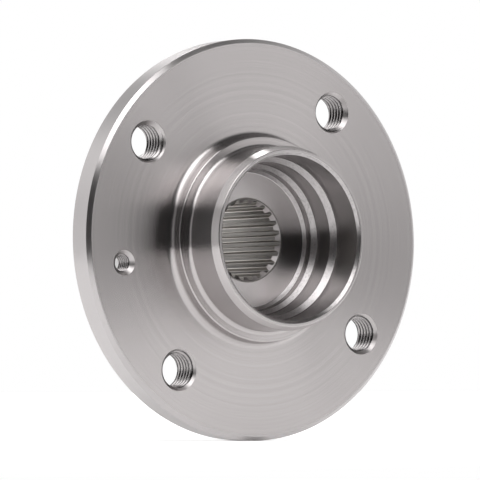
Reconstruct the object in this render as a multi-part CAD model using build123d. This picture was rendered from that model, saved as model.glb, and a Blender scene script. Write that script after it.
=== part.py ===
from build123d import *
from math import cos, pi, radians, sin
import os

# Car wheel hub with the double-row angular-contact ball bearing that it turns in, in millimetres.
#
# The hub's axis is Y. The origin is where that axis meets the flange's wheel-side face, the face
# that the brake disc and the wheel are clamped to. The wheel side looks along -Y and +Z is up.
# Outboard means the wheel side and inboard the car's side. A station is a place along Y, and a
# corner of a turned section is (radius, station) or (radius, station, corner radius).

# ---------------------------------------------------------------- hub: driving dimensions
flange_r = 62.6                 # drive flange
flange_thickness = 9.0
flange_front_chamfer = 1.2
flange_back_chamfer = 0.6

bolt_circle_r = 50.0            # wheel bolts on a 100 mm pitch circle
bolt_count = 4
bolt_angle = 54.3               # first bolt hole, from +X towards +Z
bolt_thread_r = 6.0             # M12 x 1.5, at its major radius
bolt_mouth_r = 6.5              # 45 degree countersinks
bolt_back_mouth_r = 6.4

screw_angle = 189.3             # locating screw of the brake disc, midway between two bolts
screw_thread_r = 3.0            # M6 x 1, at its major radius
screw_mouth_r = 3.9
screw_back_mouth_r = 3.3

disc_pilot_height = 4.6         # centres the brake disc
disc_pilot_ledge = 3.5          # its radius over the wheel pilot's
disc_pilot_edge = 0.35
disc_pilot_root = 2.2           # concave radius where it meets the flange

wheel_pilot_r = 28.5            # centres the wheel
wheel_pilot_height = 18.8
wheel_pilot_root = 1.6          # concave radius where it meets the disc pilot
lead_in_length = 2.5            # slender lead-in taper at its rim
lead_in_depth = 1.2

socket_wall = 2.9               # wall of the pilot round the recess for the axle nut and its cap
socket_edge = 0.85
socket_root = 1.8               # concave radius at the end of each step
middle_step_ledge = 1.8         # how far the recess steps in at each stage
middle_step_length = 7.9
middle_step_root = 1.6
nut_step_ledge = 1.6
nut_step_length = 3.3
nut_step_root = 1.2
nut_web = 4.0                   # metal between the nut's seat and the flange's back

spline_teeth = 23               # drive spline for the axle's stub shaft
spline_tip_r = 11.6
spline_tooth_height = 1.1
spline_tip_land = 1.35          # width of a tooth at its tip
spline_space_floor = 1.25       # width of the floor between two teeth
spline_floor_corner = 0.2
spline_angle = 4.1              # middle of one tooth, from +X towards +Z
spline_mouth_margin = 0.2       # the mouth's chamfers reach this far past the teeth's roots

back_relief_margin = 2.6        # turned relief in the flange's back, past the fixed outer ring
back_relief_depth = 1.2
back_relief_root = 0.7
journal_end_gap = 1.5           # the journal stops short, so that the axle clamps the inner ring
journal_edge = 1.0
journal_undercut = 0.25         # grinding undercut beside the shoulder
journal_undercut_width = 1.4

# ---------------------------------------------------------------- bearing: driving dimensions
bearing_bore_r = 17.0           # 34 x 62 x 37
bearing_section = 14.0          # from its bore to its outside
bearing_width = 37.0

ball_r = 4.7625                 # 3/8 inch balls
ball_count = 13                 # in each row
contact_angle = 36.0
groove_conformity = 1.06        # groove radius over ball radius
running_clearance = 0.05        # between a ball and its raceways at their contact

high_shoulder = 2.95            # heights over the grooves' floors: outer ends of the inner rings,
rib_height = 3.35               # rib between the outer raceways,
low_shoulder = 0.65             # and the open side of each raceway
ring_outer_edge = 0.9
ring_bore_edge = 1.2
ring_small_edge = 0.3

cage_inner_gap = 0.7            # cage to the inner ring's shoulder
cage_outer_gap = 1.4            # cage to the outer ring's bore
cage_seal_gap = 0.7             # cage to the seal's case
cage_pocket_clearance = 0.12
cage_rim = 1.5                  # solid rim behind the balls
cage_finger = 2.5               # reach of the fingers past the balls' middle
cage_notch_width = 1.3          # slot that lets two fingers spring apart
cage_notch_depth = 1.6

seal_inset = 0.5                # the seals sit this far inside the rings' end faces
seal_width = 4.0
seal_sheet = 0.6                # thickness of the pressed steel
seal_lip_reach = 1.9            # slinger's sleeve to the case's inner edge
seal_rim_gap = 0.4              # slinger's rim to the case's wall
seal_lip_clearance = 0.08
seal_lip_skin = 0.45            # rubber moulded over the case
seal_lip_tip = 0.4              # thickness of a lip at its free edge

# ---------------------------------------------------------------- places worked out from them
disc_pilot_r = wheel_pilot_r + disc_pilot_ledge
socket_r = wheel_pilot_r - socket_wall
middle_step_r = socket_r - middle_step_ledge
nut_step_r = middle_step_r - nut_step_ledge
rim = -wheel_pilot_height
disc_pilot_face = -disc_pilot_height
flange_back = flange_thickness
nut_seat = flange_back - nut_web
middle_floor = nut_seat - nut_step_length
socket_floor = middle_floor - middle_step_length
spline_root_r = spline_tip_r + spline_tooth_height
spline_mouth_r = spline_root_r + spline_mouth_margin
mouth_depth = spline_mouth_r - spline_tip_r

bearing_outside_r = bearing_bore_r + bearing_section
bearing_front = flange_back
bearing_middle = bearing_front + bearing_width / 2
bearing_back = bearing_front + bearing_width
journal_end = bearing_back - journal_end_gap

# The raceways' groove centres lie off the balls' middle, so that each ball meets its outer
# raceway on the inboard flank and its inner raceway on the outboard flank, at the contact angle.
ball_pitch_r = bearing_bore_r + bearing_section / 2
groove_r = ball_r * groove_conformity
groove_offset = groove_r - ball_r - running_clearance
groove_shift = groove_offset * sin(radians(contact_angle))
groove_drop = groove_offset * cos(radians(contact_angle))
inner_groove_floor_r = ball_pitch_r + groove_drop - groove_r
outer_groove_floor_r = ball_pitch_r - groove_drop + groove_r
inner_shoulder_r = inner_groove_floor_r + high_shoulder
inner_land_r = inner_groove_floor_r + low_shoulder
outer_rib_r = outer_groove_floor_r - rib_height
seal_bore_r = outer_groove_floor_r - low_shoulder

shoulder_r = inner_shoulder_r - ring_outer_edge
back_relief_r = bearing_outside_r + back_relief_margin
slinger_sleeve_r = inner_shoulder_r + seal_sheet
slinger_rim_r = seal_bore_r - seal_sheet - seal_rim_gap
seal_case_inner_r = slinger_sleeve_r + seal_lip_reach
seal_front = bearing_front + seal_inset
seal_back = seal_front + seal_width

pocket_r = ball_r + cage_pocket_clearance
cage_inner_r = inner_shoulder_r + cage_inner_gap
cage_outer_r = seal_bore_r - cage_outer_gap
cage_start = seal_back + cage_seal_gap
outboard_row = cage_start + cage_rim + pocket_r


def within(corner_r, ledge):
    """Corner radius that leaves a hair of its ledge flat."""
    return min(corner_r, ledge - 0.02)


def turned(*corners):
    """Solid of revolution about the hub's axis, from the corners of its closed half-section."""
    points = [corner[:2] for corner in corners]
    radii = [corner[2] if len(corner) == 3 else 0 for corner in corners]
    section = make_face(FilletPolyline(*points, radius=radii, close=True).edges())
    return revolve(section, axis=Axis.Y)


def around(radius, angle, station=0):
    """Location at a radius and an angle round the hub's axis."""
    return Pos(radius * cos(radians(angle)), station, radius * sin(radians(angle)))


def countersunk_hole(thread_r, mouth_r, back_mouth_r, past=1.0):
    """Tool for a through hole of the flange, with a 45 degree countersink on each face."""
    return turned(
        (0, -past),
        (mouth_r + past, -past),
        (thread_r, mouth_r - thread_r),
        (thread_r, flange_back - (back_mouth_r - thread_r)),
        (back_mouth_r + past, flange_back + past),
        (0, flange_back + past),
    )


def spline_spaces():
    """Tool for the spaces between the spline's teeth, as long as the bore."""
    tooth_pitch = 360 / spline_teeth
    tip_gap = 2 * pi * spline_tip_r / spline_teeth - spline_tip_land
    slope = (tip_gap - spline_space_floor) / (spline_root_r - spline_tip_r)
    inside = 0.6
    mouth_half = (tip_gap + slope * inside) / 2
    floor_half = spline_space_floor / 2
    outline = FilletPolyline(
        (spline_tip_r - inside, -mouth_half),
        (spline_root_r, -floor_half),
        (spline_root_r, floor_half),
        (spline_tip_r - inside, mouth_half),
        radius=[0, spline_floor_corner, spline_floor_corner, 0],
        close=True,
    )
    space = make_face(outline.edges())
    spaces = [Rot(0, 0, (tooth + 0.5) * tooth_pitch + spline_angle) * space
              for tooth in range(spline_teeth)]
    length = journal_end - nut_seat + 2
    across_axis = Plane(origin=(0, journal_end + 1, 0), x_dir=(1, 0, 0), z_dir=(0, -1, 0))
    return across_axis * extrude(Sketch() + spaces, amount=length)


def hub_flange():
    """The forged and turned hub: flange, pilots, recess, splined bore and bearing journal."""
    body = turned(
        # bore's mouth, then the stepped recess out to the rim
        (spline_tip_r, nut_seat + mouth_depth),
        (spline_mouth_r, nut_seat),
        (nut_step_r, nut_seat, nut_step_root),
        (nut_step_r, middle_floor),
        (middle_step_r, middle_floor, within(middle_step_root, nut_step_ledge)),
        (middle_step_r, socket_floor),
        (socket_r, socket_floor, within(socket_root, middle_step_ledge)),
        (socket_r, rim + socket_edge),
        (socket_r + socket_edge, rim),
        # wheel pilot, disc pilot and flange face
        (wheel_pilot_r - lead_in_depth, rim),
        (wheel_pilot_r, rim + lead_in_length),
        (wheel_pilot_r, disc_pilot_face, within(wheel_pilot_root, disc_pilot_ledge - disc_pilot_edge)),
        (disc_pilot_r - disc_pilot_edge, disc_pilot_face),
        (disc_pilot_r, disc_pilot_face + disc_pilot_edge),
        (disc_pilot_r, 0, disc_pilot_root),
        (flange_r - flange_front_chamfer, 0),
        (flange_r, flange_front_chamfer),
        # flange's back, the relief round the bearing and its shoulder
        (flange_r, flange_back - flange_back_chamfer),
        (flange_r - flange_back_chamfer, flange_back),
        (back_relief_r, flange_back),
        (back_relief_r, flange_back - back_relief_depth, back_relief_root),
        (shoulder_r, flange_back - back_relief_depth, back_relief_root),
        (shoulder_r, flange_back),
        # journal with its grinding undercut
        (bearing_bore_r - journal_undercut, flange_back),
        (bearing_bore_r - journal_undercut, flange_back + journal_undercut_width),
        (bearing_bore_r, flange_back + journal_undercut_width + journal_undercut),
        (bearing_bore_r, journal_end - journal_edge),
        (bearing_bore_r - journal_edge, journal_end),
        (spline_mouth_r, journal_end),
        (spline_tip_r, journal_end - mouth_depth),
    )
    bolt_hole = countersunk_hole(bolt_thread_r, bolt_mouth_r, bolt_back_mouth_r)
    screw_hole = countersunk_hole(screw_thread_r, screw_mouth_r, screw_back_mouth_r)
    for bolt in range(bolt_count):
        body -= around(bolt_circle_r, bolt_angle + bolt * 360 / bolt_count) * bolt_hole
    body -= around(bolt_circle_r, screw_angle) * screw_hole
    return body - spline_spaces()


def turned_sphere(radius):
    """Sphere with its poles along Y and its seam towards +X."""
    return Rot(90, 0, 0) * Sphere(radius)


def groove(radius, station):
    """Tool for a raceway: a torus about the hub's axis."""
    return Pos(0, station, 0) * Rot(90, 0, 0) * Torus(radius, groove_r)


def inboard(shape):
    """The inboard copy of a piece of the bearing, mirrored about the bearing's middle."""
    return mirror(shape, about=Plane(origin=(0, bearing_middle, 0), z_dir=(0, 1, 0)))


def outer_ring():
    """Fixed ring with both outer raceways and the central rib between them."""
    step = outboard_row - groove_shift
    inboard_step = 2 * bearing_middle - step
    blank = turned(
        (seal_bore_r + ring_small_edge, bearing_front),
        (bearing_outside_r - ring_outer_edge, bearing_front),
        (bearing_outside_r, bearing_front + ring_outer_edge),
        (bearing_outside_r, bearing_back - ring_outer_edge),
        (bearing_outside_r - ring_outer_edge, bearing_back),
        (seal_bore_r + ring_small_edge, bearing_back),
        (seal_bore_r, bearing_back - ring_small_edge),
        (seal_bore_r, inboard_step),
        (outer_rib_r, inboard_step),
        (outer_rib_r, step),
        (seal_bore_r, step),
        (seal_bore_r, bearing_front + ring_small_edge),
    )
    raceway = groove(ball_pitch_r - groove_drop, step)
    return blank - raceway - inboard(raceway)


def inner_ring():
    """Outboard inner ring, pressed on the journal against the hub's shoulder."""
    step = outboard_row + groove_shift
    blank = turned(
        (bearing_bore_r, bearing_front + ring_bore_edge),
        (bearing_bore_r + ring_bore_edge, bearing_front),
        (inner_shoulder_r - ring_small_edge, bearing_front),
        (inner_shoulder_r, bearing_front + ring_small_edge),
        (inner_shoulder_r, step),
        (inner_land_r, step),
        (inner_land_r, bearing_middle - ring_small_edge),
        (inner_land_r - ring_small_edge, bearing_middle),
        (bearing_bore_r + ring_small_edge, bearing_middle),
        (bearing_bore_r, bearing_middle - ring_small_edge),
    )
    return blank - groove(ball_pitch_r + groove_drop, step)


def ball_angles(half_steps=0):
    """Angles of one row's balls. The inboard row sits half a step round from the outboard row."""
    return [360 / ball_count * (ball + half_steps / 2) for ball in range(ball_count)]


def cage(angles):
    """Snap cage of the outboard row: a rim and fingers with spherical pockets for the balls."""
    pocket = turned_sphere(pocket_r)
    open_end = outboard_row + cage_finger
    body = turned(
        (cage_inner_r, cage_start),
        (cage_outer_r, cage_start),
        (cage_outer_r, open_end),
        (cage_inner_r, open_end),
    )
    notch = Box(2 * (cage_outer_r - cage_inner_r), 2 * cage_notch_depth, cage_notch_width)
    middle_r = (cage_inner_r + cage_outer_r) / 2
    for angle in angles:
        finger = angle + 180 / ball_count
        body -= around(ball_pitch_r, angle, outboard_row) * Rot(0, -angle, 0) * pocket
        body -= around(middle_r, finger, open_end) * Rot(0, -finger, 0) * notch
    return body


def seal_case():
    """Pressed steel case of the outboard seal, fixed in the outer ring's bore."""
    return turned(
        (seal_bore_r, seal_front),
        (seal_bore_r, seal_back),
        (seal_case_inner_r, seal_back),
        (seal_case_inner_r, seal_back - seal_sheet),
        (seal_bore_r - seal_sheet, seal_back - seal_sheet),
        (seal_bore_r - seal_sheet, seal_front),
    )


def slinger():
    """Pressed steel slinger of the outboard seal, fixed on the inner ring's shoulder."""
    return turned(
        (inner_shoulder_r, seal_front),
        (slinger_rim_r, seal_front),
        (slinger_rim_r, seal_front + seal_sheet),
        (slinger_sleeve_r, seal_front + seal_sheet),
        (slinger_sleeve_r, seal_back),
        (inner_shoulder_r, seal_back),
    )


def seal_lip():
    """Rubber of the outboard seal: a skin on the case, an axial lip and a radial lip."""
    case_face = seal_back - seal_sheet
    skin_face = case_face - seal_lip_skin
    axial_edge = seal_front + seal_sheet + seal_lip_clearance
    radial_edge = slinger_sleeve_r + seal_lip_clearance
    lip_root_r = (seal_case_inner_r + slinger_rim_r) / 2
    return turned(
        (slinger_rim_r, case_face),
        (slinger_rim_r, skin_face),
        (lip_root_r + seal_lip_tip, skin_face),
        (slinger_rim_r, axial_edge),
        (slinger_rim_r - seal_lip_tip, axial_edge),
        (lip_root_r - seal_lip_tip, skin_face),
        (seal_case_inner_r - seal_lip_skin, skin_face),
        (radial_edge, skin_face - seal_lip_tip),
        (radial_edge, skin_face),
        (seal_case_inner_r - seal_lip_skin, seal_back),
        (seal_case_inner_r, seal_back),
        (seal_case_inner_r, case_face),
    )


def save(node, shape):
    export_step(shape, f"parts/{node}.step")


def main():
    os.makedirs("parts", exist_ok=True)
    save("hub_flange", hub_flange())
    save("outer_ring", outer_ring())
    outboard_pieces = {"inner_ring": inner_ring(), "seal_case": seal_case(),
                       "seal_lip": seal_lip(), "slinger": slinger()}
    for name, piece in outboard_pieces.items():
        save(f"{name}_outboard", piece)
        save(f"{name}_inboard", inboard(piece))

    save("cage_outboard", cage(ball_angles()))
    save("cage_inboard", inboard(cage(ball_angles(half_steps=1))))
    inboard_row = 2 * bearing_middle - outboard_row
    for number in range(ball_count):
        outboard_place = around(ball_pitch_r, ball_angles()[number], outboard_row)
        inboard_place = around(ball_pitch_r, ball_angles(half_steps=1)[number], inboard_row)
        save(f"ball_outboard_{number + 1:02d}", outboard_place * turned_sphere(ball_r))
        save(f"ball_inboard_{number + 1:02d}", inboard_place * turned_sphere(ball_r))


main()
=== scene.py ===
from math import asin, atan2, ceil, cos, degrees, hypot, pi, radians, sin, sqrt, tan

import bmesh
import bpy
import numpy as np
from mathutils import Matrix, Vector
from mathutils.geometry import delaunay_2d_cdt


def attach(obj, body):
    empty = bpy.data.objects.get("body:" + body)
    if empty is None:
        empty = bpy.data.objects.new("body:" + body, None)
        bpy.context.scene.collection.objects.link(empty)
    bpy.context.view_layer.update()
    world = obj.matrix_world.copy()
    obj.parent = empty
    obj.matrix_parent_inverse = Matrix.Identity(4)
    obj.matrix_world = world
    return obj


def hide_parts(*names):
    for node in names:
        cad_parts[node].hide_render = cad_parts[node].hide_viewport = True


# Car wheel hub and its double-row ball bearing, turned, threaded and broached. The hub's axis is
# Y, the wheel side looks along -Y and +Z is up. A station is a place along Y. The sizes here are
# in millimetres and become metres as a mesh is made. The angles of holes and teeth are in
# degrees, from +X towards +Z.

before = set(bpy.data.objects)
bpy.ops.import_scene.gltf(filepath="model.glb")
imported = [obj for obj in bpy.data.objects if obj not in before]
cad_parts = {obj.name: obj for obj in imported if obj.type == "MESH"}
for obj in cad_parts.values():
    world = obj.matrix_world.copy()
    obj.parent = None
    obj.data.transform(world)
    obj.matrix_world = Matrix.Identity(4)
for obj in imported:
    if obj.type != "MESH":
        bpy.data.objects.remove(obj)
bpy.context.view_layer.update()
scene = bpy.context.scene
scene.view_settings.view_transform = "Standard"

MM = 0.001
WELD = 2e-6                     # metres, vertices nearer than this are one vertex
SLIVER = 1e-8                   # metres, edges shorter than this are dissolved
AROUND = 240                    # segments of a turned surface
ARC_STEP, BREAK_STEP = 9, 30    # degrees in a facet of a rounded corner and of a small edge
SHARP, CAGE_SHARP = 32, 30      # degrees past which an edge is a real corner
CONE_SLACK = 0.07               # how far a 45 degree cone's facing may be off
SMOOTH = "SMOOTHSTEP"

# ---------------------------------------------------------------- sizes of the hub
FLANGE_R, FLANGE_BACK = 62.6, 9.0
RIM_FRONT_R, RIM_BACK_R = 61.0, 61.5            # where the flat faces meet the rim
HUB_FRONT, HUB_FRONT_R = -18.8, 27.0            # flat ring at the pilots' mouth
WHEEL_PILOT_R, DISC_PILOT_R, PILOT_STEP = 28.5, 32.0, -4.6
PILOT_FOOT_R = 34.6                             # where the front face meets the pilots' foot
RELIEF_R, RELIEF_FLOOR, RELIEF_EDGE_R = 33.6, 7.8, 34.2
BOLT_CIRCLE_R, BOLT_ANGLE, SCREW_ANGLE = 50.0, 54.3, 189.3
BOLT = {"Thread Radius": 6.0, "Crest Radius": 5.19, "Pitch": 1.5,
        "Front Mouth Radius": 6.5, "Back Mouth Radius": 5.4}
SCREW = {"Thread Radius": 3.0, "Crest Radius": 2.46, "Pitch": 1.0,
         "Front Mouth Radius": 3.9, "Back Mouth Radius": 4.1}
HOLE_AROUND, THREAD_ROWS = 56, 14               # segments round a thread, rows in its turn

NUT_SEAT, NUT_SEAT_R = 5.0, 20.4
JOURNAL_END, JOURNAL_END_R = 44.5, 15.6
TEETH, TOOTH_ANGLE = 23, 4.1
TIP_R, ROOT_R = 11.6, 12.7
SPLINE_MOUTH_R, SPLINE_RIM_R = 12.9, 13.3       # its chamfer's edge, and the flat round that
TIP_LAND, SPACE_FLOOR = 1.35, 1.25

# ---------------------------------------------------------------- sizes of the bearing
BORE_R, OUTSIDE_R = 17.0, 31.0
FRONT, MIDDLE, BACK = 9.0, 27.5, 46.0
PITCH_R, BALL_R, BALLS = 24.0, 4.7625, 13
ROW = 20.5825                   # station of the outboard row
GROOVE_R, GROOVE_SHIFT, GROOVE_DROP, GROOVE_STEPS = 5.04825, 0.1386, 0.1907, 12
SHOULDER_R, LAND_R, RIB_R, SEAL_BORE_R = 22.0925, 19.7925, 25.5075, 28.2075


# ================================================================ node trees
def wire(tree, kind, inputs=None, out=0, **settings):
    """One node of a tree, wired or set by its inputs' names. Gives one of its outputs."""
    node = tree.nodes.new(kind)
    for name, value in settings.items():
        setattr(node, name, value)
    for name, value in (inputs or {}).items():
        if isinstance(value, bpy.types.NodeSocket):
            tree.links.new(value, node.inputs[name])
        else:
            node.inputs[name].default_value = value
    return node.outputs[out]


def maths(tree, operation, *values):
    """One sum on numbers."""
    return wire(tree, "ShaderNodeMath", dict(enumerate(values)), operation=operation)


def vector_maths(tree, operation, *values, out=0):
    """One sum on vectors."""
    return wire(tree, "ShaderNodeVectorMath", dict(enumerate(values)), out, operation=operation)


def ramp(tree, value, low, high, to_low=0.0, to_high=1.0, kind="LINEAR"):
    """value, mapped from low..high to to_low..to_high and held at both ends."""
    return wire(tree, "ShaderNodeMapRange",
                {"Value": value, "From Min": low, "From Max": high,
                 "To Min": to_low, "To Max": to_high}, interpolation_type=kind)


def new_tree(name, **inputs):
    """Geometry tree with named inputs, and the node that holds them."""
    tree = bpy.data.node_groups.new(name, "GeometryNodeTree")
    tree.interface.new_socket("Geometry", in_out="INPUT", socket_type="NodeSocketGeometry")
    for label, kind in inputs.items():
        tree.interface.new_socket(label.replace("_", " "), in_out="INPUT",
                                  socket_type="NodeSocket" + kind)
    tree.interface.new_socket("Geometry", in_out="OUTPUT", socket_type="NodeSocketGeometry")
    return tree, tree.nodes.new("NodeGroupInput").outputs


def end_tree(tree, geometry, material):
    """Merges what meets, realizes what repeats and sets the finish."""
    geometry = wire(tree, "GeometryNodeRealizeInstances", {"Geometry": geometry})
    geometry = wire(tree, "GeometryNodeMergeByDistance", {"Geometry": geometry, "Distance": 1e-6})
    geometry = wire(tree, "GeometryNodeSetMaterial", {"Geometry": geometry, "Material": material})
    tree.links.new(geometry, tree.nodes.new("NodeGroupOutput").inputs[0])
    return tree


def turn_round_axis(tree, vector, angle):
    """vector, turned about Y from +X towards +Z."""
    back = maths(tree, "MULTIPLY", angle, -1.0)
    return wire(tree, "ShaderNodeVectorRotate", {"Vector": vector, "Angle": back},
                rotation_type="Y_AXIS")


def stored(tree, geometry, name, value, kind="FLOAT_VECTOR"):
    """geometry, with a value kept at its points under a name."""
    return wire(tree, "GeometryNodeStoreNamedAttribute",
                {"Geometry": geometry, "Name": name, "Value": value}, data_type=kind)


def turning_tree():
    """Revolves a drawn section, a row of points with their outward directions, about Y."""
    tree, given = new_tree("turned_section", Segments="Int", Finish="Material")
    count = wire(tree, "GeometryNodeAttributeDomainSize", {"Geometry": given["Geometry"]})
    rows = maths(tree, "ADD", given["Segments"], 1)
    grid = wire(tree, "GeometryNodeMeshGrid", {"Size X": 1.0, "Size Y": 1.0,
                                              "Vertices X": count, "Vertices Y": rows})
    place = wire(tree, "ShaderNodeSeparateXYZ", {0: wire(tree, "GeometryNodeInputPosition")})
    along = maths(tree, "ADD", place, 0.5)
    last = maths(tree, "SUBTRACT", count, 1)
    corner = maths(tree, "ROUND", maths(tree, "MULTIPLY", along, last))
    angle = maths(tree, "MULTIPLY_ADD", place.node.outputs["Y"], 2 * pi, pi)
    turned = []
    for value in (wire(tree, "GeometryNodeInputPosition"),
                  wire(tree, "GeometryNodeInputNamedAttribute", {"Name": "outward"},
                       data_type="FLOAT_VECTOR")):
        drawn = wire(tree, "GeometryNodeSampleIndex",
                     {"Geometry": given["Geometry"], "Value": value, "Index": corner},
                     data_type="FLOAT_VECTOR")
        turned.append(turn_round_axis(tree, drawn, angle))
    shape = stored(tree, grid, "outward", turned[1])
    shape = wire(tree, "GeometryNodeSetPosition", {"Geometry": shape, "Position": turned[0]})
    return end_tree(tree, shape, given["Finish"])


def ring_tree():
    """Repeats what it is given round Y, at even angles from the first one."""
    tree, given = new_tree("ring_of_copies", Copies="Int", First_Angle="Float", Finish="Material")
    spots = wire(tree, "GeometryNodePoints", {"Count": given["Copies"]})
    spots = stored(tree, spots, "copy", wire(tree, "GeometryNodeInputIndex"), "INT")
    copies = wire(tree, "GeometryNodeInstanceOnPoints",
                  {"Points": spots, "Instance": given["Geometry"]})
    copies = wire(tree, "GeometryNodeRealizeInstances", {"Geometry": copies})
    number = wire(tree, "GeometryNodeInputNamedAttribute", {"Name": "copy"}, data_type="INT")
    step = maths(tree, "DIVIDE", 2 * pi, given["Copies"])
    angle = maths(tree, "MULTIPLY_ADD", number, step, given["First Angle"])
    outward = wire(tree, "GeometryNodeInputNamedAttribute", {"Name": "outward"},
                   data_type="FLOAT_VECTOR")
    copies = stored(tree, copies, "outward", turn_round_axis(tree, outward, angle))
    place = turn_round_axis(tree, wire(tree, "GeometryNodeInputPosition"), angle)
    copies = wire(tree, "GeometryNodeSetPosition", {"Geometry": copies, "Position": place})
    return end_tree(tree, copies, given["Finish"])


def thread_tree():
    """Wall of a threaded through hole along Y, with a 45 degree countersink at each mouth.

    The rows of its grid follow the thread's helix, so its crests and roots stay sharp.
    """
    tree, given = new_tree(
        "threaded_hole", Thread_Radius="Float", Crest_Radius="Float", Pitch="Float",
        Depth="Float", Front_Mouth_Radius="Float", Back_Mouth_Radius="Float",
        Circle_Radius="Float", Around="Int", Rows_per_Turn="Int", Finish="Material")
    turns = maths(tree, "ADD", maths(tree, "DIVIDE", given["Depth"], given["Pitch"]), 1.0)
    rows = maths(tree, "CEIL", maths(tree, "MULTIPLY", turns, given["Rows per Turn"]))
    row_count = maths(tree, "ADD", rows, 1)
    columns = maths(tree, "ADD", given["Around"], 1)
    grid = wire(tree, "GeometryNodeMeshGrid", {"Size X": 1.0, "Size Y": 1.0,
                                              "Vertices X": columns, "Vertices Y": row_count})
    place = wire(tree, "ShaderNodeSeparateXYZ", {0: wire(tree, "GeometryNodeInputPosition")})
    share = maths(tree, "ADD", place, 0.5)
    row = maths(tree, "MULTIPLY", maths(tree, "ADD", place.node.outputs["Y"], 0.5), rows)
    turn = maths(tree, "DIVIDE", row, given["Rows per Turn"])
    # 60 degree thread: flat crests a quarter of the pitch wide, flat roots an eighth
    wave = maths(tree, "ABSOLUTE", maths(tree, "SUBTRACT", maths(tree, "FRACT", turn), 0.5))
    depth = ramp(tree, maths(tree, "MULTIPLY", wave, 2.0), 0.25, 0.875)
    height = maths(tree, "SUBTRACT", given["Thread Radius"], given["Crest Radius"])
    thread = maths(tree, "MULTIPLY_ADD", depth, height, given["Crest Radius"])
    helix = maths(tree, "ADD", turn, maths(tree, "SUBTRACT", share, 1.0))
    station = maths(tree, "MULTIPLY", helix, given["Pitch"])
    station = maths(tree, "MINIMUM", maths(tree, "MAXIMUM", station, 0.0), given["Depth"])
    front = maths(tree, "SUBTRACT", given["Front Mouth Radius"], station)
    left = maths(tree, "SUBTRACT", given["Depth"], station)
    back = maths(tree, "SUBTRACT", given["Back Mouth Radius"], left)
    radius = maths(tree, "MAXIMUM", thread, maths(tree, "MAXIMUM", front, back))
    angle = maths(tree, "MULTIPLY", share, -2 * pi)
    across = maths(tree, "MULTIPLY_ADD", maths(tree, "COSINE", angle), radius,
                   given["Circle Radius"])
    up = maths(tree, "MULTIPLY", maths(tree, "SINE", angle), radius)
    spot = wire(tree, "ShaderNodeCombineXYZ", {"X": across, "Y": station, "Z": up})
    # how deep a point lies in the thread, faded out towards the countersinks: the mask of the
    # painted shade in the thread's roots
    cut = ramp(tree, maths(tree, "SUBTRACT", thread, maths(tree, "MAXIMUM", front, back)),
               0.0, 0.5 * MM)
    # kept before the grid is bent, because its rows are read from where its points are
    grid = stored(tree, grid, "root_shade", maths(tree, "MULTIPLY", depth, cut), "FLOAT")
    wall = wire(tree, "GeometryNodeSetPosition", {"Geometry": grid, "Position": spot})
    return end_tree(tree, wall, given["Finish"])


# ================================================================ meshes
def section(corners, closed=True, edge=0.12):
    """Points (r, station, outward r, outward station) of a turned section, in mm.

    A corner (r, station, radius) is rounded to its radius, and one without a radius is broken
    to a small edge. A point with all four numbers stays as it is. Metal lies on the left.
    """
    count = len(corners)
    spots = [np.array(corner[:2], float) for corner in corners]
    own = [len(corner) == 3 for corner in corners]
    literal = [len(corner) == 4 for corner in corners]
    ways, lengths = [], []
    for i in range(count):
        way = spots[(i + 1) % count] - spots[i]
        lengths.append(hypot(*way))
        ways.append(way / max(lengths[-1], 1e-9))
    bends, reach = [0.0] * count, [0.0] * count
    for i in range(count):
        if literal[i] or (not closed and i in (0, count - 1)):
            continue
        (ax, ay), (bx, by) = ways[i - 1], ways[i]
        bends[i] = atan2(ax * by - ay * bx, ax * bx + ay * by)
        reach[i] = (corners[i][2] if own[i] else edge) * tan(abs(bends[i]) / 2)
    for i in range(count):
        if not own[i]:
            for beside, length in ((i - 1, lengths[i - 1]), ((i + 1) % count, lengths[i])):
                room = length - reach[beside] if own[beside] else length / 2
                reach[i] = max(0.0, min(reach[i], 0.9 * room))
    points = []
    for i in range(count):
        if literal[i]:
            points.append(tuple(corners[i]))
        elif abs(bends[i]) < 1e-4 or reach[i] < 1e-4:
            way = ways[i - 1] if i == count - 1 and not closed else ways[i]
            points.append((*spots[i], way[1], -way[0]))
        else:
            side = 1 if bends[i] > 0 else -1
            radius = reach[i] / tan(abs(bends[i]) / 2)
            start = spots[i] - ways[i - 1] * reach[i]
            centre = start + side * radius * np.array((-ways[i - 1][1], ways[i - 1][0]))
            facet = ARC_STEP if own[i] else BREAK_STEP
            steps = max(2, ceil(degrees(abs(bends[i])) / facet))
            for k in range(steps + 1):
                c, s = cos(bends[i] * k / steps), sin(bends[i] * k / steps)
                way = np.array((ways[i - 1][0] * c - ways[i - 1][1] * s,
                                ways[i - 1][0] * s + ways[i - 1][1] * c))
                spot = centre - side * radius * np.array((-way[1], way[0]))
                points.append((*spot, way[1], -way[0]))
    return points


def mesh_of(name, vertices, faces=(), edges=(), outward=None):
    """Mesh from points in metres, with the outward direction kept at each of them."""
    mesh = bpy.data.meshes.new(name)
    mesh.from_pydata([tuple(v) for v in vertices], list(edges), list(faces))
    kept = mesh.attributes.new("outward", "FLOAT_VECTOR", "POINT")
    if outward is not None:
        kept.data.foreach_set("vector", np.asarray(outward, np.float32).ravel())
    mesh.update()
    return mesh


def run(tree, start, **sizes):
    """Plain mesh that a tree makes of a starting mesh."""
    holder = bpy.data.objects.new(tree.name, start)
    scene.collection.objects.link(holder)
    modifier = holder.modifiers.new(tree.name, "NODES")
    modifier.node_group = tree
    for socket in tree.interface.items_tree:
        if socket.in_out == "INPUT" and socket.name in sizes:
            modifier[socket.identifier] = sizes[socket.name]
    graph = bpy.context.evaluated_depsgraph_get()
    mesh = bpy.data.meshes.new_from_object(holder.evaluated_get(graph))
    bpy.data.objects.remove(holder)
    return mesh


def turned(name, points, skin):
    """Mesh of revolution of a section's points."""
    vertices = [(r * MM, y * MM, 0) for r, y, _, _ in points]
    outward = [(nr, ny, 0) for _, _, nr, ny in points]
    edges = [(i, i + 1) for i in range(len(points) - 1)]
    return run(TURNED, mesh_of(name, vertices, edges=edges, outward=outward),
               Segments=AROUND, Finish=skin)


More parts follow.
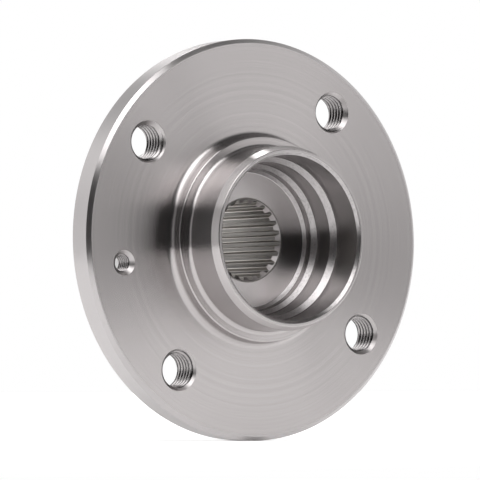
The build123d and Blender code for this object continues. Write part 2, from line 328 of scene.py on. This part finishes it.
def ring(radius, angles):
    """Points in metres of a ring round Y, without their station."""
    return [(radius * MM * cos(a), radius * MM * sin(a)) for a in angles]


def even(count, first=0.0):
    """Angles of a full turn in even steps, in radians, from the first one."""
    return [first + 2 * pi * k / count for k in range(count)]


def plate(name, station, outward, outer, inner, holes=()):
    """Flat face between two rings, with round holes given as (centre, ring)."""
    points = list(outer) + list(inner)
    loops = [range(len(outer)), range(len(outer), len(points))]
    for _, hole in holes:
        loops.append(range(len(points), len(points) + len(hole)))
        points += hole
    edges = [(loop[k - 1], loop[k]) for loop in loops for k in range(len(loop))]
    flat, _, faces, *_ = delaunay_2d_cdt([Vector(p) for p in points], edges, [], 0, 1e-9)
    voids = [((0.0, 0.0), hypot(*inner[0]))]
    voids += [(centre, hypot(hole[0][0] - centre[0], hole[0][1] - centre[1]))
              for centre, hole in holes]
    kept = []
    for face in faces:
        x = sum(flat[v][0] for v in face) / 3
        z = sum(flat[v][1] for v in face) / 3
        if all(hypot(x - c[0], z - c[1]) > r * 0.99999 for c, r in voids):
            (ax, az), (bx, bz), (cx, cz) = (flat[v] for v in face)
            area = (bx - ax) * (cz - az) - (bz - az) * (cx - ax)
            # with x to the right and z up, an anticlockwise face looks along -Y
            kept.append(tuple(face) if (area > 0) == (outward < 0) else tuple(face)[::-1])
    vertices = [(x, station * MM, z) for x, z in flat]
    return mesh_of(name, vertices, kept, outward=[(0, outward, 0)] * len(vertices))


def welded(name, meshes, finishes, cones=()):
    """One closed mesh of several that meet, with each one's finish kept.

    A 45 degree face has the finish that cones gives for its mesh's finish, if it gives one.
    """
    shape = bmesh.new()
    # the painted shade of the thread's roots and the painted highlight of the spline's flanks are
    # carried along
    for kept in ("root_shade", "flank_highlight"):
        if any(kept in mesh.attributes for mesh in meshes):
            shape.verts.layers.float.new(kept)
    for mesh, own in zip(meshes, finishes):
        first = len(shape.faces)
        shape.from_mesh(mesh)
        shape.faces.ensure_lookup_table()
        for face in shape.faces[first:]:
            face.material_index = own
            face.smooth = True
            if own in cones:
                face.normal_update()
                if abs(abs(face.normal.y) - sin(radians(45))) < CONE_SLACK:
                    face.material_index = cones[own]
        bpy.data.meshes.remove(mesh)
    bmesh.ops.remove_doubles(shape, verts=shape.verts, dist=WELD)
    bmesh.ops.dissolve_degenerate(shape, edges=shape.edges, dist=SLIVER)
    bmesh.ops.recalc_face_normals(shape, faces=shape.faces)
    mesh = bpy.data.meshes.new(name)
    shape.to_mesh(mesh)
    shape.free()
    return mesh


def drop_helpers(mesh):
    """Takes off what the node trees left on a mesh and nothing reads any more."""
    for name in ("outward", "copy"):
        if name in mesh.attributes:
            mesh.attributes.remove(mesh.attributes[name])


def shade(mesh):
    """Smooth shading that follows the drawn outward directions, with real corners kept."""
    mesh.set_sharp_from_angle(angle=radians(SHARP))
    loops, faces = len(mesh.loops), len(mesh.polygons)
    normals = np.empty(loops * 3, np.float32)
    mesh.corner_normals.foreach_get("vector", normals)
    normals = normals.reshape(-1, 3)
    drawn = np.zeros(len(mesh.vertices) * 3, np.float32)
    mesh.attributes["outward"].data.foreach_get("vector", drawn)
    vertex, totals = np.empty(loops, np.int32), np.empty(faces, np.int32)
    mesh.loops.foreach_get("vertex_index", vertex)
    mesh.polygons.foreach_get("loop_total", totals)
    flat = np.empty(faces * 3, np.float32)
    mesh.polygon_normals.foreach_get("vector", flat)
    flat = np.repeat(flat.reshape(-1, 3), totals, axis=0)
    drawn = drawn.reshape(-1, 3)[vertex]
    near = (drawn * flat).sum(1) > cos(radians(SHARP))
    normals[near] = drawn[near]
    mesh.normals_split_custom_set(normals)
    drop_helpers(mesh)


def piece(name, mesh, body, slot, *nodes):
    """A finished piece: rides on its body and stands for its nodes. Its slot is not used."""
    mesh.name = name
    made = bpy.data.objects.new(name, mesh)
    scene.collection.objects.link(made)
    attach(made, body)
    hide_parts(*nodes)


# ================================================================ finishes
def finish(name, **constants):
    """New material with its constants on the shader's own sockets: its tree and its shader."""
    material = bpy.data.materials.new(name)
    material.use_nodes = True
    tree = material.node_tree
    shader = tree.nodes["Principled BSDF"]
    for socket, value in constants.items():
        shader.inputs[socket.replace("_", " ")].default_value = value
    return material, tree, shader


def noise(tree, vector, scale, detail, roughness, dimensions="3D"):
    """Noise with features 1 / scale of a metre wide."""
    return wire(tree, "ShaderNodeTexNoise",
                {"Vector": vector, "Scale": scale, "Detail": detail, "Roughness": roughness},
                noise_dimensions=dimensions)


def uneven(tree, value, amount, about=1.0):
    """about, a little more or less of it as a noise leaves its middle."""
    return maths(tree, "MULTIPLY_ADD", maths(tree, "SUBTRACT", value, 0.5), amount, about)


def between(tree, value, low, high):
    """low to high, as a noise goes from its valleys to its peaks."""
    return ramp(tree, value, 0.3, 0.7, low, high)


def lathe_frame(tree):
    """Object place, its (radius, station) and the direction of the lathe's marks there."""
    place = wire(tree, "ShaderNodeTexCoord", out="Object")
    parts = wire(tree, "ShaderNodeSeparateXYZ", {0: place})
    flat = vector_maths(tree, "MULTIPLY", place, (1, 0, 1))
    radius = vector_maths(tree, "LENGTH", flat, out="Value")
    lathe = wire(tree, "ShaderNodeCombineXYZ", {"X": radius, "Y": parts.node.outputs["Y"]})
    marks = vector_maths(tree, "NORMALIZE",
                         vector_maths(tree, "CROSS_PRODUCT", place, (0, 1, 0)))
    return place, lathe, marks


def coat(tree, shader, colour, light, roughness, along=None):
    """Wires a finish's colour times its light, its roughness and its marks' direction."""
    base = wire(tree, "ShaderNodeVectorMath", {"Vector": colour, "Scale": light},
                operation="SCALE")
    tree.links.new(base, shader.inputs["Base Color"])
    tree.links.new(roughness, shader.inputs["Roughness"])
    if along is not None:
        tree.links.new(along, shader.inputs["Tangent"])


def relief(tree, shader, height, depth, strength=1.0):
    """Wires a finish's fine relief, its depth in mm."""
    bump = wire(tree, "ShaderNodeBump",
                {"Height": height, "Distance": depth * MM, "Strength": strength})
    tree.links.new(bump, shader.inputs["Normal"])


def turned_steel(name, colour, roughness, anisotropy, marks=0.002, mark_scale=2600,
                 contrast=0.05, patches=0.04, pits=0.0):
    """Bare turned steel: fine marks round the axis, slight patches of handling, some pits."""
    material, tree, shader = finish(name, Metallic=1.0, Anisotropic=anisotropy,
                                    Anisotropic_Rotation=0.25)
    place, lathe, along = lathe_frame(tree)
    fine = noise(tree, lathe, mark_scale, 2.0, 0.6, "2D")
    broad = noise(tree, lathe, mark_scale * 0.28, 2.0, 0.5, "2D")
    patch = noise(tree, place, 28.0, 3.0, 0.55)
    rings = maths(tree, "ADD", maths(tree, "MULTIPLY", fine, 0.6),
                  maths(tree, "MULTIPLY", broad, 0.4))
    light = uneven(tree, patch, patches, uneven(tree, rings, contrast))
    height = rings
    if pits:
        pit = ramp(tree, noise(tree, place, 2400.0, 2.0, 0.6), 0.45, 0.65, kind=SMOOTH)
        # a pit is darker than the steel round it, and far deeper than a mark
        light = maths(tree, "MULTIPLY_ADD", pit, -0.42 * pits, light)
        height = maths(tree, "MULTIPLY_ADD", pit, -4.0 * pits, rings)
    coat(tree, shader, colour, light, uneven(tree, patch, 0.06, roughness), along)
    relief(tree, shader, height, marks)
    return material


def cut_steel(name, colour, low, high, tear_scale, contrast, depth, roots=0.0):
    """Steel cut by a tap or a countersink: shiny, with small tears, and a painted shade that
    darkens the thread's roots.
    """
    material, tree, shader = finish(name, Metallic=1.0)
    place = wire(tree, "ShaderNodeTexCoord", out="Object")
    tear = noise(tree, place, tear_scale, 3.0, 0.6)
    light = uneven(tree, tear, contrast)
    if roots:
        # painted shade: the thread's roots are darker in colour, as if in shadow
        root_shade = wire(tree, "ShaderNodeAttribute", out="Fac", attribute_name="root_shade")
        light = maths(tree, "MULTIPLY", light, ramp(tree, root_shade, 0.0, 0.5, 1.0, 1.0 - roots))
    coat(tree, shader, colour, light, between(tree, tear, low, high))
    relief(tree, shader, tear, depth)
    return material


def broached_steel(name, colour):
    """Broached spline: fine scores along the axis, and a painted highlight on its flanks and tooth
    edges.
    """
    material, tree, shader = finish(name, Metallic=1.0, Anisotropic=0.4)
    place = wire(tree, "ShaderNodeTexCoord", out="Object")
    drawn = vector_maths(tree, "MULTIPLY", place, (1.0, 0.05, 1.0))
    score = noise(tree, drawn, 2500.0, 2.0, 0.6)
    # painted highlight: flanks and tooth edges are lighter in colour, lands and floors darker
    flank_highlight = wire(tree, "ShaderNodeAttribute", out="Fac", attribute_name="flank_highlight")
    light = maths(tree, "MULTIPLY", uneven(tree, score, 0.35),
                  ramp(tree, flank_highlight, 0.0, 1.0, 0.66, 2.4))
    along = wire(tree, "ShaderNodeCombineXYZ", {"Y": 1.0})
    coat(tree, shader, colour, light, between(tree, score, 0.3, 0.46), along)
    relief(tree, shader, score, 0.006)
    return material


def polished_steel(name, colour):
    """Lapped balls: nearly a mirror, with the faintest haze."""
    material, tree, shader = finish(name, Metallic=1.0)
    place = wire(tree, "ShaderNodeTexCoord", out="Object")
    haze = noise(tree, place, 400.0, 3.0, 0.6)
    coat(tree, shader, colour, uneven(tree, haze, 0.04), between(tree, haze, 0.05, 0.1))
    return material


def pressed_steel(name, colour):
    """Pressed seal steel: satin, with drawing marks round it and small scuffs."""
    material, tree, shader = finish(name, Metallic=1.0, Anisotropic=0.35)
    place, lathe, along = lathe_frame(tree)
    drawn = noise(tree, lathe, 1500.0, 2.0, 0.6, "2D")
    scuff = noise(tree, place, 320.0, 3.0, 0.7)
    mixed = maths(tree, "ADD", maths(tree, "MULTIPLY", drawn, 0.5),
                  maths(tree, "MULTIPLY", scuff, 0.5))
    coat(tree, shader, colour, uneven(tree, mixed, 0.35), between(tree, mixed, 0.3, 0.48), along)
    relief(tree, shader, mixed, 0.008, 0.8)
    return material


def moulded(name, colour, low, high, grain_scale, depth, **constants):
    """Moulded rubber or plastic: a fine skin grain over a faintly uneven colour."""
    material, tree, shader = finish(name, **constants)
    place = wire(tree, "ShaderNodeTexCoord", out="Object")
    grain = noise(tree, place, grain_scale, 3.0, 0.6)
    cloud = noise(tree, place, 90.0, 2.0, 0.5)
    coat(tree, shader, colour, uneven(tree, cloud, 0.25), between(tree, grain, low, high))
    relief(tree, shader, grain, depth, 0.7)
    return material


TURNED, RING, THREAD = turning_tree(), ring_tree(), thread_tree()
FACE = turned_steel("hub_turned_face", (0.475, 0.449, 0.447), 0.25, 0.97, contrast=0.32,
                    patches=0.08)
RECESS = turned_steel("hub_turned_recess", (0.43, 0.408, 0.407), 0.26, 0.96, mark_scale=2200)
CONE = turned_steel("hub_turned_cone", (0.52, 0.494, 0.494), 0.3, 0.85, marks=0.004, pits=0.8,
                    mark_scale=2200)
RIM = turned_steel("hub_rim", (0.485, 0.462, 0.462), 0.3, 0.85, marks=0.004)
# roots sets how dark the painted shade in the tapped threads' roots is
TAPPED = cut_steel("hub_tapped", (0.5, 0.475, 0.475), 0.2, 0.32, 1800.0, 0.2, 0.004, roots=0.85)
COUNTERSUNK = cut_steel("hub_countersunk", (0.475, 0.45, 0.448), 0.3, 0.42, 1200.0, 0.1, 0.002)
BROACHED = broached_steel("hub_broached", (0.305, 0.29, 0.276))
GROUND = turned_steel("bearing_ground", (0.45, 0.446, 0.442), 0.22, 0.75, marks=0.002,
                      mark_scale=5200, contrast=0.06)
LAPPED = polished_steel("ball_lapped", (0.66, 0.66, 0.66))
PRESSED = pressed_steel("seal_pressed", (0.44, 0.44, 0.44))
RUBBER = moulded("seal_rubber_skin", (0.03, 0.03, 0.032), 0.42, 0.6, 2600.0, 0.01)
NYLON = moulded("cage_nylon", (0.6, 0.53, 0.38), 0.38, 0.52, 1600.0, 0.008,
                Subsurface_Weight=0.08)


# the hub's finishes, and the place of each on its mesh
HUB_FINISHES = (FACE, RECESS, RIM, TAPPED, BROACHED, COUNTERSUNK, CONE)
ON_FACE, IN_RECESS, ON_RIM, IN_THREAD, IN_SPLINE, ON_COUNTERSINK, ON_CONE = range(7)


# ================================================================ hub
def hub():
    """Forged hub: turned all over, with tapped holes and a broached spline."""
    recess = section([
        (NUT_SEAT_R, NUT_SEAT), (21.1, NUT_SEAT, 0.5), (22.2, 3.9, 0.5), (22.2, 1.8, 0.5),
        (23.8, 0.2, 0.9), (23.8, -6.1, 0.5), (25.6, -7.9, 0.9), (25.6, -17.95),
        (26.45, HUB_FRONT, 0.3), (HUB_FRONT_R, HUB_FRONT),
    ], closed=False, edge=0.16)
    pilots = section([
        (HUB_FRONT_R, HUB_FRONT), (27.3, HUB_FRONT, 0.35), (WHEEL_PILOT_R, -16.3, 1.2),
        (WHEEL_PILOT_R, PILOT_STEP, 1.5), (DISC_PILOT_R, PILOT_STEP, 0.5),
        (DISC_PILOT_R, 0, 2.15), (PILOT_FOOT_R, 0),
    ], closed=False, edge=0.16)
    rim = section([
        (RIM_FRONT_R, 0), (61.35, 0), (FLANGE_R, 1.05), (FLANGE_R, 8.4), (62.0, FLANGE_BACK),
        (RIM_BACK_R, FLANGE_BACK),
    ], closed=False, edge=0.2)
    back = section([
        (RELIEF_EDGE_R, FLANGE_BACK), (RELIEF_R, FLANGE_BACK), (RELIEF_R, RELIEF_FLOOR, 0.66),
        (21.1925, RELIEF_FLOOR, 0.66), (21.1925, FLANGE_BACK), (16.75, FLANGE_BACK),
        (16.75, 10.4), (BORE_R, 10.65), (BORE_R, 43.5), (16.0, JOURNAL_END),
        (JOURNAL_END_R, JOURNAL_END),
    ], closed=False)
    meshes = [turned("recess", recess, RECESS), turned("pilots", pilots, FACE),
              turned("edge", rim, RIM), turned("back", back, FACE)]
    finishes = [IN_RECESS, ON_FACE, ON_RIM, ON_FACE]

    front_holes, back_holes = [], []
    for sizes, copies, angle in ((BOLT, 4, BOLT_ANGLE), (SCREW, 1, SCREW_ANGLE)):
        in_metres = {name: value * MM for name, value in sizes.items()}
        wall = run(THREAD, mesh_of("hole", []), **in_metres, Depth=FLANGE_BACK * MM,
                   **{"Circle Radius": BOLT_CIRCLE_R * MM, "Rows per Turn": THREAD_ROWS},
                   Around=HOLE_AROUND, Finish=TAPPED)
        meshes.append(run(RING, wall, Copies=copies, Finish=TAPPED,
                          **{"First Angle": radians(angle)}))
        finishes.append(IN_THREAD)
        for at in even(copies, radians(angle)):
            centre = (BOLT_CIRCLE_R * MM * cos(at), BOLT_CIRCLE_R * MM * sin(at))
            for holes, mouth in ((front_holes, "Front Mouth Radius"),
                                 (back_holes, "Back Mouth Radius")):
                outline = ring(sizes[mouth], even(HOLE_AROUND, at))
                holes.append((centre, [(x + centre[0], z + centre[1]) for x, z in outline]))

    teeth, bearings = spline()
    all_round, spline_rim = even(AROUND), ring(SPLINE_RIM_R, bearings)
    meshes += [
        plate("front", 0.0, -1, ring(RIM_FRONT_R, all_round), ring(PILOT_FOOT_R, all_round),
              front_holes),
        plate("back_face", FLANGE_BACK, 1, ring(RIM_BACK_R, all_round),
              ring(RELIEF_EDGE_R, all_round), back_holes),
        teeth,
        plate("nut_seat", NUT_SEAT, -1, ring(NUT_SEAT_R, all_round), spline_rim),
        plate("journal_end", JOURNAL_END, 1, ring(JOURNAL_END_R, all_round), spline_rim),
    ]
    finishes += [ON_FACE, ON_FACE, IN_SPLINE, IN_RECESS, ON_FACE]
    # a 45 degree cone is cut by a tool of its own
    mesh = welded("hub_forging", meshes, finishes,
                  {IN_RECESS: ON_CONE, IN_THREAD: ON_COUNTERSINK, IN_SPLINE: ON_COUNTERSINK})
    for material in HUB_FINISHES:
        mesh.materials.append(material)
    shade(mesh)
    piece("hub_forging", mesh, "hub", "hub_steel", "hub_flange")


def spline():
    """Broached bore between its two chamfered mouths, and the angles of its outline's points."""
    pitch = 2 * pi / TEETH
    gap = 2 * pi * TIP_R / TEETH - TIP_LAND
    slope = (gap - SPACE_FLOOR) / (ROOT_R - TIP_R) / 2
    lip = gap / 2
    floor_half, land_x = SPACE_FLOOR / 2, sqrt(TIP_R ** 2 - lip ** 2)
    # half a tooth space, from its floor's middle to the middle of the next tooth's land, with
    # how much painted highlight each point gets, most on the rounded edge of the tooth
    half = [(ROOT_R, 0.0, 0.0), (ROOT_R, floor_half - 0.2, 0.0),
            (ROOT_R - 0.06, floor_half - 0.06, 0.3), (ROOT_R - 0.2, floor_half + 0.2 * slope, 0.5),
            ((ROOT_R + land_x) / 2, floor_half + slope * (ROOT_R - land_x) / 2, 0.5),
            (land_x + 0.19, lip - 0.05, 0.7), (land_x + 0.11, lip - 0.015, 1.0),
            (land_x + 0.05, lip + 0.04, 1.0), (land_x + 0.015, lip + 0.11, 1.0)]
    rim_angle = atan2(lip + 0.19, land_x)
    half += [(TIP_R * cos(a), TIP_R * sin(a), 0.0)
             for a in np.linspace(rim_angle, pitch / 2, 4)]
    outline = [(x, -z, mark) for x, z, mark in half[:0:-1]] + half
    # flat, broken edge and start of the chamfer, from the outside in
    mouth = section([(SPLINE_MOUTH_R - 0.14, 0.14), (SPLINE_MOUTH_R, 0), (SPLINE_RIM_R, 0)],
                    closed=False, edge=0.1)[::-1]
    rows, outward, columns, marks = [], [], [], []
    for x, z, mark in outline:
        radius, angle = hypot(x, z), atan2(z, x)
        columns.append(angle)
        start = NUT_SEAT + SPLINE_MOUTH_R - radius
        stations = [(r, NUT_SEAT + y, nr, ny) for r, y, nr, ny in mouth]
        stations += [(radius, start, 0, 0), (radius, NUT_SEAT + JOURNAL_END - start, 0, 0)]
        stations += [(r, JOURNAL_END - y, nr, -ny) for r, y, nr, ny in mouth[::-1]]
        rows.append([(r * MM * cos(angle), y * MM, r * MM * sin(angle))
                     for r, y, _, _ in stations])
        outward.append([(-abs(nr) * cos(angle), ny, -abs(nr) * sin(angle))
                        for _, _, nr, ny in stations])
        marks += [mark * (nr == ny == 0) for _, _, nr, ny in stations]
    deep = len(rows[0])
    faces = [(c * deep + k, c * deep + k + 1, (c + 1) * deep + k + 1, (c + 1) * deep + k)
             for c in range(len(rows) - 1) for k in range(deep - 1)]
    strip = mesh_of("tooth_space", [v for row in rows for v in row], faces,
                    outward=[v for row in outward for v in row])
    # the painted highlight's amount at each point, for the broached finish
    strip.attributes.new("flank_highlight", "FLOAT", "POINT").data.foreach_set("value", marks)
    first = radians(TOOTH_ANGLE) + pitch / 2
    teeth = run(RING, strip, Copies=TEETH, Finish=BROACHED, **{"First Angle": first})
    angles = [first + k * pitch + a for k in range(TEETH) for a in columns[:-1]]
    return teeth, angles


# ================================================================ bearing
def inboard(points):
    """A section's points, mirrored about the bearing's middle and run the other way round."""
    return [(r, 2 * MIDDLE - y, nr, -ny) for r, y, nr, ny in points][::-1]


def raceway(centre_r, station, start, end):
    """Points along a raceway's groove, between two angles from the axis's outward direction."""
    points = []
    for k in range(GROOVE_STEPS + 1):
        a = radians(start + (end - start) * k / GROOVE_STEPS)
        points.append((centre_r + GROOVE_R * cos(a), station + GROOVE_R * sin(a),
                       -cos(a), -sin(a)))
    return points


def bearing_ring(name, corners, body, node, mirrored=False, edge=0.14, skin=GROUND,
                 slot="bearing_steel"):
    """One turned ring of the bearing, from the corners of its section."""
    points = section(corners, edge=edge)
    if mirrored:
        points = inboard(points)
    mesh = welded(name, [turned(name, points + points[:1], skin)], [0])
    mesh.materials.append(skin)
    shade(mesh)
    piece(name, mesh, body, slot, node)


def outer_ring():
    """Ring in the knuckle: two grooves with a rib between them, and a bore for each seal."""
    centre, step = PITCH_R - GROOVE_DROP, ROW - GROOVE_SHIFT
    low = degrees(asin(-sqrt(GROOVE_R ** 2 - (SEAL_BORE_R - centre) ** 2) / GROOVE_R))
    high = degrees(asin(sqrt(GROOVE_R ** 2 - (RIB_R - centre) ** 2) / GROOVE_R))
    near = raceway(centre, step, low, high)
    # outside of the ring first, then its bore from the inboard end back to the outboard end
    corners = [(SEAL_BORE_R + 0.3, FRONT), (30.1, FRONT), (OUTSIDE_R, FRONT + 0.9),
               (OUTSIDE_R, BACK - 0.9), (30.1, BACK), (SEAL_BORE_R + 0.3, BACK),
               (SEAL_BORE_R, BACK - 0.3)]
    corners += inboard(near)[::-1]
    corners += near[::-1]
    corners += [(SEAL_BORE_R, FRONT + 0.3)]
    bearing_ring("outer_race", corners, "knuckle_side", "outer_ring")


def inner_ring(side, mirrored):
    """Ring on the hub's journal, with one groove, its shoulder and its land."""
    centre, step = PITCH_R + GROOVE_DROP, ROW + GROOVE_SHIFT
    low = -degrees(asin(sqrt(GROOVE_R ** 2 - (centre - SHOULDER_R) ** 2) / GROOVE_R))
    high = degrees(asin(sqrt(GROOVE_R ** 2 - (centre - LAND_R) ** 2) / GROOVE_R))
    groove = raceway(centre, step, 180 - low, 180 - high)
    corners = [(BORE_R, FRONT + 1.2), (BORE_R + 1.2, FRONT), (SHOULDER_R - 0.3, FRONT),
               (SHOULDER_R, FRONT + 0.3)]
    corners += groove
    corners += [(LAND_R, MIDDLE - 0.3), (LAND_R - 0.3, MIDDLE), (BORE_R + 0.3, MIDDLE),
                (BORE_R, MIDDLE - 0.3)]
    bearing_ring(f"inner_race_{side}", corners, "hub", f"inner_ring_{side}", mirrored)


def seal(side, mirrored):
    """Seal of one end: pressed case and slinger, and the rubber moulded on the case."""
    front, back, sheet, rubber, clearance = 9.5, 13.5, 0.6, 0.45, 0.08
    case_r, sleeve_r, rim_r = 24.5925, 22.6925, 27.2075
    case = [(SEAL_BORE_R, front), (SEAL_BORE_R, back, 0.75), (case_r, back),
            (case_r, back - sheet), (SEAL_BORE_R - sheet, back - sheet, 0.2),
            (SEAL_BORE_R - sheet, front)]
    bearing_ring(f"seal_case_pressing_{side}", case[::-1], "knuckle_side", f"seal_case_{side}",
                 mirrored, 0.06, PRESSED, "seal_steel")
    thrower = [(SHOULDER_R, front, 0.75), (rim_r, front), (rim_r, front + sheet),
               (sleeve_r, front + sheet, 0.2), (sleeve_r, back), (SHOULDER_R, back)]
    bearing_ring(f"seal_slinger_pressing_{side}", thrower, "hub", f"slinger_{side}",
                 mirrored, 0.06, PRESSED, "seal_steel")
    case_face, skin_face = back - sheet, back - sheet - rubber
    root_r, lip_r, lip_end = (case_r + rim_r) / 2, sleeve_r + clearance, front + sheet + clearance
    lip = [(rim_r, case_face), (rim_r, skin_face), (root_r + 0.4, skin_face, 0.2),
           (rim_r, lip_end), (rim_r - 0.4, lip_end), (root_r - 0.4, skin_face, 0.2),
           (case_r - rubber, skin_face), (lip_r, skin_face - 0.4), (lip_r, skin_face),
           (case_r - rubber, back), (case_r, back), (case_r, case_face)]
    bearing_ring(f"seal_rubber_{side}", lip[::-1], "knuckle_side", f"seal_lip_{side}",
                 mirrored, 0.08, RUBBER, "seal_rubber")


def ball_row(side, station, first):
    """One row of balls, the first of them at an angle in radians."""
    ball = bmesh.new()
    bmesh.ops.create_uvsphere(ball, u_segments=36, v_segments=24, radius=BALL_R * MM)
    bmesh.ops.translate(ball, verts=ball.verts, vec=(PITCH_R * MM, station * MM, 0))
    for face in ball.faces:
        face.smooth = True
    mesh = bpy.data.meshes.new("ball")
    ball.to_mesh(mesh)
    ball.free()
    mesh.attributes.new("outward", "FLOAT_VECTOR", "POINT")
    row = run(RING, mesh, Copies=BALLS, Finish=LAPPED, **{"First Angle": first})
    drop_helpers(row)
    nodes = [f"ball_{side}_{number:02d}" for number in range(1, BALLS + 1)]
    piece(f"ball_row_{side}", row, f"ball_set_{side}", "ball_steel", *nodes)


def cage(side):
    """The cage's own solid, merged and smoothed, with a moulded finish."""
    node = f"cage_{side}"
    shape = bmesh.new()
    shape.from_mesh(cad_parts[node].data)
    bmesh.ops.remove_doubles(shape, verts=shape.verts, dist=WELD)
    for face in shape.faces:
        face.smooth = True
        face.material_index = 0
    mesh = bpy.data.meshes.new(node)
    shape.to_mesh(mesh)
    shape.free()
    mesh.materials.append(NYLON)
    mesh.set_sharp_from_angle(angle=radians(CAGE_SHARP))
    piece(f"cage_moulding_{side}", mesh, f"ball_set_{side}", "cage_polymer", node)


hub()
outer_ring()
for side, mirrored in (("outboard", False), ("inboard", True)):
    inner_ring(side, mirrored)
    seal(side, mirrored)
    cage(side)
ball_row("outboard", ROW, 0.0)
ball_row("inboard", 2 * MIDDLE - ROW, pi / BALLS)


# ================================================================ studio
FLOOR_LEFT, FLOOR_FRONT, FLOOR_FAR = -0.42, -0.31, 3.0      # metres
CONTACT, CONTACT_HALF = 0.0065, 0.004   # metres, stations on which the flange stands
FILL_FROM, FILL_TO = 0.001, 0.008       # metres beyond it in which the floor's own light rises

# azimuth from +X towards +Y, half its width, low, high and soft edges in degrees, and level
CARDS = [
    (-22, 54, -50, 2.5, 3, 0.91),           # low wall right of the front
    (53, 19, -50, 89, 4, 0.05),             # gap on the right
    (152, 8, -24, 30, 4, 0.5),              # edge between two walls
    (112, 30, 14, 36, 4, 1.25),             # brighter wall at the back
    (107, 28, 38.5, 55.5, 4, 0.05),         # gap high at the back
    (-49, 44, 34, 86, 4, 0.02),             # gap high right of the front
    (49.5, 31.5, 22, 75, 4, 1.5),           # card high on the right
    (62, 14, 59, 71, 2, 10.0),              # small lamp in it
    (-146, 22, 30.5, 66, 3, 2.4),           # softbox's weaker left
    (-109, 26, 30, 65.5, 2, 3.7),           # softbox over the front
    (-117.5, 54.5, -24, 29.5, 2, 0.02),     # dark opening in front
]
LEVEL_AT_HORIZON, LEVEL_OVERHEAD = 1.19, 0.66


def floor():
    """Pale floor that looks white, but keeps the shadow where the flange stands on it: its real
    shadow, and a painted shadow where its own glow fades out round the contact.
    """
    corners = [(FLOOR_LEFT, FLOOR_FRONT), (FLOOR_FAR, FLOOR_FRONT), (FLOOR_FAR, FLOOR_FAR),
               (FLOOR_LEFT, FLOOR_FAR)]
    mesh = mesh_of("floor", [(x, y, -FLANGE_R * MM) for x, y in corners], [(0, 1, 2, 3)])
    table = bpy.data.objects.new("floor", mesh)
    scene.collection.objects.link(table)
    material, tree, shader = finish("floor_white", Roughness=0.9, Base_Color=(0.8, 0.8, 0.8, 1),
                                    Emission_Color=(1, 1, 1, 1))
    rays = tree.nodes.new("ShaderNodeLightPath").outputs
    seen = maths(tree, "MAXIMUM", rays["Is Camera Ray"],
                 maths(tree, "MAXIMUM", rays["Is Glossy Ray"], rays["Is Transmission Ray"]))
    place = wire(tree, "ShaderNodeTexCoord", out="Object")
    parts = wire(tree, "ShaderNodeSeparateXYZ", {0: place}).node.outputs
    from_middle = maths(tree, "ABSOLUTE", maths(tree, "SUBTRACT", parts["Y"], CONTACT))
    beyond = maths(tree, "MAXIMUM", maths(tree, "SUBTRACT", from_middle, CONTACT_HALF), 0.0)
    off = maths(tree, "SQRT", maths(tree, "ADD", maths(tree, "POWER", parts["X"], 2.0),
                                    maths(tree, "POWER", beyond, 2.0)))
    # painted shadow: the glow that makes the floor white fades to nothing near where the flange
    # stands
    fill = ramp(tree, off, FILL_FROM, FILL_TO, 0.0, 0.5, SMOOTH)
    tree.links.new(maths(tree, "MULTIPLY", seen, fill), shader.inputs["Emission Strength"])
    mesh.materials.append(material)


def card_mask(tree, way, height, azimuth, half_width, low, high, soft):
    """1 inside a card centred on an azimuth, between two heights, with soft edges."""
    middle = radians(azimuth)
    ahead = vector_maths(tree, "DOT_PRODUCT", way, (cos(middle), sin(middle), 0), out="Value")
    aside = vector_maths(tree, "DOT_PRODUCT", way, (-sin(middle), cos(middle), 0), out="Value")
    turn = maths(tree, "ABSOLUTE", maths(tree, "ARCTAN2", aside, ahead))
    edge, half = radians(soft), radians(half_width)
    width = ramp(tree, turn, half - edge, half + edge, 1.0, 0.0, SMOOTH)
    bottom = ramp(tree, height, sin(radians(low - soft)), sin(radians(low + soft)), kind=SMOOTH)
    top = ramp(tree, height, sin(radians(high - soft)), sin(radians(high + soft)), 1.0, 0.0,
               SMOOTH)
    return maths(tree, "MULTIPLY", width, maths(tree, "MULTIPLY", bottom, top))


def surround():
    """Walls, a softbox and the dark openings that the steel shows. It looks white behind."""
    world = bpy.data.worlds.new("studio")
    world.use_nodes = True
    tree = world.node_tree
    way = wire(tree, "ShaderNodeTexCoord", out="Generated")
    height = wire(tree, "ShaderNodeSeparateXYZ", {0: way}).node.outputs["Z"]
    level = ramp(tree, height, 0.0, 0.9, LEVEL_AT_HORIZON, LEVEL_OVERHEAD, SMOOTH)
    for *place, target in CARDS:
        mask = card_mask(tree, way, height, *place)
        left = maths(tree, "SUBTRACT", 1.0, mask)
        level = maths(tree, "ADD", maths(tree, "MULTIPLY", level, left),
                      maths(tree, "MULTIPLY", mask, target))
    rays = tree.nodes.new("ShaderNodeLightPath").outputs
    light = wire(tree, "ShaderNodeMix", {"Factor": rays["Is Camera Ray"], "A": level, "B": 1.0},
                 data_type="FLOAT")
    background = tree.nodes["Background"]
    background.inputs["Color"].default_value = (1, 1, 1, 1)
    tree.links.new(light, background.inputs["Strength"])
    scene.world = world


def camera():
    """Long lens from a little below the axis, left of the front."""
    lens = bpy.data.cameras.new("camera")
    lens.sensor_width, lens.lens = 36, 303.4
    lens.clip_start, lens.clip_end = 0.05, 20
    seer = bpy.data.objects.new("camera", lens)
    scene.collection.objects.link(seer)
    seer.location = (-0.72865, -1.0267, -0.0426)
    seer.rotation_euler = Vector((0.5751, 0.8174, 0.0337)).to_track_quat("-Z", "Y").to_euler()
    scene.camera = seer


camera()
floor()
surround()
